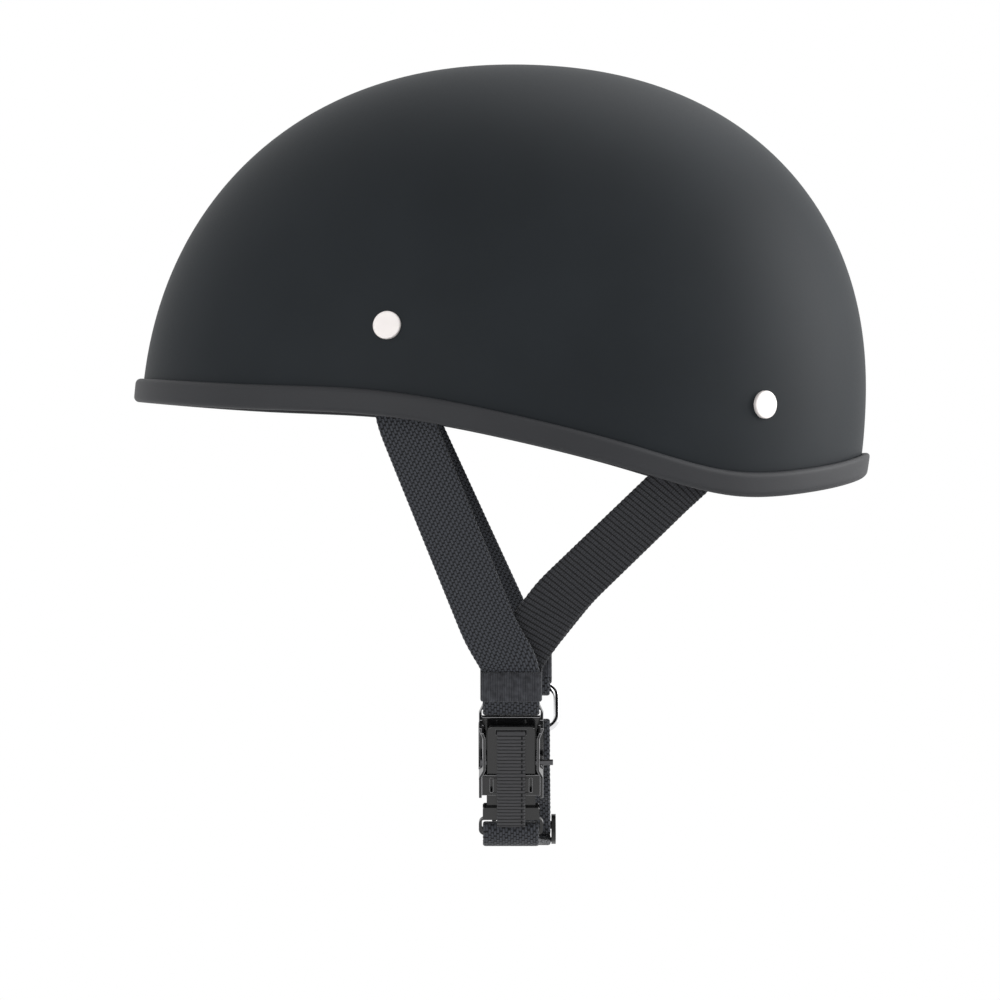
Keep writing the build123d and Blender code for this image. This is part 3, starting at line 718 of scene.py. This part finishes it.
# Sweatband: a soft strip whose inner side swells and whose edges draw in
rise = np.linspace(-1, 1, band_steps)
swollen = (1 - np.abs(rise) ** band_fullness) ** band_swell
outer, inner = band_back_share * (1 - swollen), band_back_share + (1 - band_back_share) * swollen[::-1]
band_depth = foam_core + fit + band_wall * np.append(outer, inner)
band_lifts = band_lift + band_height * (1 + np.append(rise, rise[::-1])) / 2
band_grid = over_rim(angle[:, None], band_depth[None, :], band_lifts[None, :])
quads, _ = grid(columns, len(band_depth), loop_rows=True, loop_cols=True)
band = add_piece("brow_band", band_grid, quads.tolist(), smooth=60)
finished(band, pad_black, "padding", "sweatband")

# Hook discs: four thin rounds on the foam, under the pad
disc_places = [
    (side * dome_half_width / 4, axis_y + dome_height * backward_share + way * half_length / 4)
    for side in (-1, 1) for way in (-1, 1)
]


def crown_height(x, y, depth, rounds=12):
    """Height of a layer over a place near the crown: the dome leans, so height and place are found in turns."""
    height = 0 * x + dome_height + axis_z
    for _ in range(rounds):
        upright_y = y - (height - axis_z) * backward_share
        reach = np.where(upright_y < axis_y, front_reach, rear_reach) - depth
        level = (x / (dome_half_width - depth)) ** 2 + ((upright_y - axis_y) / reach) ** 2
        height = axis_z + (dome_height - depth) * (1 - level ** (1 / round_share)) ** (round_share / 2)
    return height


round_angle = np.linspace(0, 2 * pi, disc_columns, endpoint=False)
rings = [(r, 0.0) for r in disc_rings] + [(r, 1.0) for r in reversed(disc_rings)]
for number, (x, y) in enumerate(disc_places, 1):
    points = []
    for radius, face in rings:
        px, py = x + radius * np.cos(round_angle), y + radius * np.sin(round_angle)
        points.append(np.stack([px, py, crown_height(px, py, foam_core + face * disc_thickness)], -1))
    quads, _ = grid(len(rings), disc_columns, loop_rows=True, loop_cols=True)
    disc = add_piece(f"hook_disc_{number}", np.array(points), quads.tolist(), smooth=40)
    stands_for = ["liner_hook_discs"] if number == 1 else []
    finished(disc, tape_black, "hook_tape", *stands_for)


# Straps: webbing from each rivet, out under the rim and down to its lower bar
def strap_stations(name, end):
    """Middles and outward directions of a strap, inside the shell and then hanging to the keeper."""
    side = side_of[name]
    rivet_y, rivet_z = rivet_places[end]
    exit_y, knee_share, shift, inward = courses[name, end]
    exit_z = float(rim_height(np.array(exit_y)))
    run = np.hypot(exit_y - rivet_y, exit_z - rivet_z)
    shares = [-strap_end / run] + laid_shares + [1.0]
    depths = [0.0] + laid_inset_shares + [1.0]
    points, facings = [], []
    for share, depth in zip(shares, depths):
        y = rivet_y + (exit_y - rivet_y) * share
        z = rivet_z + (exit_z - rivet_z) * share
        points.append(on_dome(y, z, strap_inset + (strap_rim_inset - strap_inset) * depth, side))
        facings.append(dome_normal(y, z, side))
    out = strap_axes(name)[1]
    leg = gaps[name] + webbing_thickness / 2 if end == "front" else 0
    rim, rim_facing = points[-1], facings[-1]
    low = in_side_view(name, [(leg, loop_top)])[0]
    knee = rim + (low - rim) * knee_share + np.array((-side * inward, shift, 0))
    for share in hang_shares:
        facings.append(rim_facing + (out - rim_facing) * share)
        points.append(rim + (knee - rim) * share / knee_share)
    facings.append(rim_facing + (out - rim_facing) * knee_share)
    points.append(knee)
    facings.append(out)
    points.append(low)
    return np.array(points), unit(np.array(facings))


def strap(name, end):
    """The webbing runs straight between its stations, eased at each, then down the keeper and round the bar."""
    points, facings = strap_stations(name, end)
    _, out, _, up = strap_axes(name)
    front = end == "front"
    leg, low = (gaps[name] + webbing_thickness / 2, turns[name]) if front else (0, rear_stops[name])
    station = np.concatenate([in_side_view(name, [(leg, loop_top - last_station)])[0], out])
    laid = np.concatenate([np.concatenate([points, facings], 1), station[None]])
    laid = eased(evenly(laid, weave_step), ease_reach)
    route = [(leg, h) for h in np.linspace(loop_top - keeper_run, low, run_rows)]
    turned = [out] * run_rows
    if front:
        bend = np.linspace(0, pi, turn_rows)
        route = route[:-1] + [(leg * cos(t), low - leg * sin(t)) for t in bend]
        route += [(-leg, h) for h in np.linspace(low, loop_top, run_rows)[1:]]
        turned = turned[:-1] + [cos(t) * out - sin(t) * up for t in bend] + [-out] * (run_rows - 1)
    hung = np.concatenate([in_side_view(name, route), np.array(turned)], 1)
    path = evenly(np.concatenate([laid, hung]), weave_step)
    piece = carried(f"{name}_{end}_webbing", path[:, :3], unit(path[:, 3:]), woven_band(len(path)))
    finished(piece, webbing_of[end], "webbing", f"{name}_{end}_strap")


for name in side_of:
    for end in rivet_places:
        strap(name, end)


# Keepers: sewn sleeves whose ribs run up the strap
def keeper(name):
    """A rounded sleeve: ribs are a cosine of the length round it, and its last row joins its first inside."""
    half_u = webbing_width / 2 + keeper_wall
    half_w = gaps[name] + webbing_thickness + keeper_wall
    corner = np.linspace(0, pi / 2, corner_steps)
    outline = []
    for su, sw, turn in ((1, 1, 0), (-1, 1, 1), (-1, -1, 2), (1, -1, 3)):
        arc = corner + turn * pi / 2
        middle = np.array((su * (half_u - keeper_round), sw * (half_w - keeper_round)))
        outline.append(middle + keeper_round * np.stack([np.cos(arc), np.sin(arc)], -1))
    outline = evenly(np.concatenate(outline + [outline[0][:1]]), keeper_step)[:-1]
    run = np.arange(len(outline)) / len(outline)
    heading = unit(np.roll(outline, -1, 0) - np.roll(outline, 1, 0))
    outward = np.stack([heading[:, 1], -heading[:, 0]], -1)
    ribs = (rib_height * np.cos(2 * pi * run * rib_count))[:, None] * outward
    middle, out, bar, up = strap_axes(name)
    rows = []
    for inset, height in keeper_rows:
        flat = outline + ribs - outward * inset * mm
        rows.append(middle + flat[:, :1] * bar + flat[:, 1:] * out + height * mm * up)
    quads, spots = grid(len(rows), len(outline), loop_rows=True, loop_cols=True)
    length = np.array([h for _, h in keeper_rows + keeper_rows[:1]]) * mm
    girth = np.append(run, 1.0) * keeper_girth
    uv = [np.stack([girth[spots[..., 1]], length[spots[..., 0]]], -1).reshape(-1, 2)]
    piece = add_piece(f"{name}_keeper_sleeve", np.array(rows), quads.tolist(), uv)
    finished(piece, keeper_grey, "keeper_weave", f"{name}_keeper")


for name in side_of:
    keeper(name)

# Pull ribbon: folded over the lever's top edge, hanging over the bridge
ribbon_under = lever_under - fit / 4 - ribbon_thickness / 2
ribbon_over = lever_under + lever_thickness + fit / 4 + ribbon_thickness / 2
ribbon_turn = (ribbon_over - ribbon_under) / 2 * turn_share
ribbon_route = rounded(
    [(ribbon_under, -ribbon_tail), (ribbon_under, -ribbon_top), (ribbon_over, -ribbon_top),
     (ribbon_over, -ribbon_knee), (ribbon_sag_out, -ribbon_sag_down), (ribbon_end_out, -ribbon_end)],
    [ribbon_turn, ribbon_turn, ribbon_knee, ribbon_knee],
)
left_bar = strap_axes("left")[2]
ribbon_line = in_side_view("left", evenly(ribbon_route, weave_step))
pull_ribbon = squared("pull_ribbon_cloth", ribbon_line, left_bar, slab(ribbon_width, ribbon_thickness))
bend_start, bend_end = in_side_view("left", [(ribbon_over, -down) for down in ribbon_bend])
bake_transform(pull_ribbon)
finished(pull_ribbon, ribbon_black, "ribbon_weave", "pull_ribbon", body=None)

# Chin strap: round the tongue's eye and under the chin, then up through the slider and round the ring
half_webbing = webbing_thickness / 2
tongue_middle = tray_plate / 2 + fit + fit / 4 + tongue_thickness / 2
tongue_leg = tongue_thickness / 2 + fit + half_webbing
left_out = tongue_middle + tongue_leg
left_turn = -eye_low + 3 * fit + half_webbing
half_layer = half_webbing + fit / 2
ring_leg = ring_wire / 2 + fit + half_webbing
ring_turn = -ring_drop + ring_slack + ring_leg
slider_leg = slider_bar / 2 + fit + half_webbing
slider_out = half_layer + slider_leg
slider_turn = -slider_down - slider_leg
tail_out = -slider_out - slider_leg
lap_out = -half_layer - webbing_thickness - fit


def level_with(name, out, z):
    """How far up a leaning plane a height lies, at a distance out."""
    return (z - bars[name][2] + out * sin(lean)) / cos(lean)


left_low = level_with("left", left_out, chin_left[2])
right_low = level_with("right", half_layer, chin_right[2])
near = in_side_view("left", [
    (tongue_middle - tongue_leg, -left_tail), (tongue_middle - tongue_leg, left_turn),
    (left_out, left_turn), (left_out, left_low),
])
far = in_side_view("right", [
    (half_layer, right_low), (half_layer, -pinch_down), (ring_leg, -ease_down), (ring_leg, ring_turn),
    (-ring_leg, ring_turn), (-ring_leg, -ease_down), (-half_layer, -pinch_down),
    (-slider_out + slider_leg, slider_turn), (tail_out, slider_turn),
    (tail_out, -right_tail_down), (lap_out, -right_tail_pinch), (lap_out, -right_tail_end),
])
chin_middle = (chin_left + chin_right) / 2
tongue_turn, ring_bend, slider_bend = (leg * turn_share for leg in (tongue_leg, ring_leg, slider_leg))
near_route = rounded([*near, chin_left, chin_middle], [tongue_turn, tongue_turn, chin_bend, chin_sag])
far_route = rounded(
    [chin_middle, chin_right, *far],
    [chin_sag, chin_bend, chin_bend, chin_bend, ring_bend, ring_bend, chin_bend, chin_bend,
     slider_bend, slider_bend, tail_bend, tail_bend],
)
near_line, far_line = (evenly(route, weave_step) for route in (near_route, far_route))
near_piece = squared("chin_strap_near", near_line, -left_bar, woven_band(len(near_line)))
far_piece = squared("chin_strap_far", far_line, -left_bar, woven_band(len(far_line)))
far_start, far_end = in_side_view("right", [(half_layer, -down) for down in far_give])
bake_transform(near_piece)
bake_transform(far_piece)
finished(near_piece, webbing_of["front"], "webbing", "chin_strap", body=None)
finished(far_piece, webbing_of["front"], "webbing", body=None)

# CAD pieces that keep their shape
kept = {
    "buckle_frame": gloss_black, "release_lever": gloss_black, "tongue": gloss_black, "lever_pin": gunmetal,
    "lever_spring": spring_wire, "strap_ring": polished, "strap_slider": slider_black,
    "rivet_washers": zinc, "impact_liner": foam_black,
}
kept.update({f"{name}_{end}_rivet": rivet_white for name in side_of for end in rivet_places})
for node, material in kept.items():
    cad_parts[node].material_slots[0].material = material

# Pressed and moulded pieces catch the light on their rounded edges: the bevels get a lighter metal, worn bare
# on the frame, whose colour also paints glints along them
edge_round = 0.16 * mm
edge_rows = 3
edge_angle = radians(35)
weld_reach = 0.002 * mm
for node, edge in (("buckle_frame", worn_and_glint_edge), ("release_lever", soft_glint_edge)):
    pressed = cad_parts[node]
    pressed.data.materials.append(edge)
    weld = pressed.modifiers.new("weld", "WELD")
    weld.merge_threshold = weld_reach
    bevel = pressed.modifiers.new("bevel", "BEVEL")
    bevel.width, bevel.segments = edge_round, edge_rows
    bevel.limit_method, bevel.angle_limit = "ANGLE", edge_angle
    bevel.use_clamp_overlap = False
    bevel.material = 1

# Floor, backdrop and lamps
floor_size = 30.0
floor_level = -300 * mm
sky_strength = 0.5
corners = np.array([(-1, -1, 0), (1, -1, 0), (1, 1, 0), (-1, 1, 0)]) * floor_size + (0, 0, floor_level)
floor = add_piece("floor", corners, [(0, 1, 2, 3)])
paper = Finish("paper", base_color=(0.8, 0.8, 0.8, 1), roughness=0.9)
paper.white_where_seen(paper.shader.outputs[0], "Emission", "Material Output")
floor.data.materials.append(paper.material)

world = bpy.data.worlds.new("studio")
world.use_nodes = True
bpy.context.scene.world = world
sky = world.node_tree.nodes["Background"]
sky.inputs["Color"].default_value = white
sky.inputs["Strength"].default_value = sky_strength
Nodes(world.node_tree).white_where_seen(sky.outputs[0], "Background", "World Output")


def lamp(name, place, aim, width, height, power):
    """A soft box at a place, turned towards what it lights."""
    data = bpy.data.lights.new(name, "AREA")
    data.shape, data.size, data.size_y, data.energy = "RECTANGLE", width, height, power
    made = bpy.data.objects.new(name, data)
    made.location = place
    heading = np.array(aim, float) - np.array(place, float)
    made.rotation_euler = Vector(heading).to_track_quat("-Z", "Y").to_euler()
    bpy.context.scene.collection.objects.link(made)


lamp("over", place=(-0.5, 0.6, 1.4), aim=(0, 0, 0), width=1.4, height=1.4, power=10)
lamp("rear", place=(-0.25, 1.6, 0.4), aim=(0, 0, 0), width=1.0, height=1.2, power=25)
lamp("near", place=(1.5, -0.9, 0.0), aim=(0, 0, -0.08), width=1.2, height=1.2, power=9)
